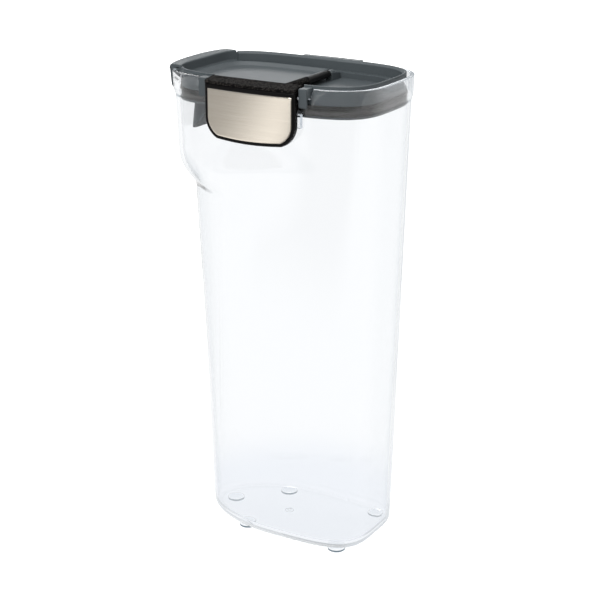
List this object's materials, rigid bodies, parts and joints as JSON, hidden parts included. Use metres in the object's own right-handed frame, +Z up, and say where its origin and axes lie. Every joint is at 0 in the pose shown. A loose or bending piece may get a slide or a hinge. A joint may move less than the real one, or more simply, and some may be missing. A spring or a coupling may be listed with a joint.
{
  "type": "cereal container",
  "caption": "Tall clear pouring food keeper with a pointed hand grip, a hinged sealing lid, a flip-up spout flap and a swing latch.",
  "frame": {"origin": "centre of the part's box, on the table under its feet", "axes": "+Z up; +X along the body away from the spout; the latch is on the -Y side and the lid's hinge on the +Y side"},
  "size_m": [0.1503, 0.1106, 0.3184],
  "materials": {
    "clear": "clear polished copolyester plastic",
    "clear_foot": "clear soft plastic",
    "grey": "satin",
    "black": "satin",
    "grip": "fine pebbled texture",
    "seal": "smooth silicone",
    "plate": "satin, brushed along its length",
    "steel_pin": "plain drawn steel"
  },
  "bodies": {
    "container": {"body": "clear", "foot_spout": "clear_foot", "foot_front_left": "clear_foot", "foot_front_right": "clear_foot", "foot_back_left": "clear_foot", "foot_back_right": "clear_foot"},
    "lid": {"lid_frame": "grey", "lid_gasket": "seal", "pour_chute": "grey", "lid_hinge_pin": "steel_pin", "flap_pin": "steel_pin", "latch_pin": "steel_pin"},
    "flap": {"flap": "grey", "flap_gasket": "seal", "flap_barrel": "black", "barrel_sleeve": "grip"},
    "latch": {"latch_frame": "black", "latch_pad": "grip", "latch_plate": "plate"}
  },
  "joints": [
    {"name": "lid_hinge", "type": "hinge", "parent": "container", "child": "lid", "pos_m": [0, 0.0515, 0.3107], "axis": [-1, 0, 0], "range_deg": [0, 105]},
    {"name": "flap_hinge", "type": "hinge", "parent": "lid", "child": "flap", "pos_m": [0.0105, 0, 0.3094], "axis": [0, 1, 0], "range_deg": [0, 110]},
    {"name": "latch_hinge", "type": "hinge", "parent": "lid", "child": "latch", "pos_m": [0, -0.046, 0.3116], "axis": [-1, 0, 0], "range_deg": [0, 95]}
  ]
}
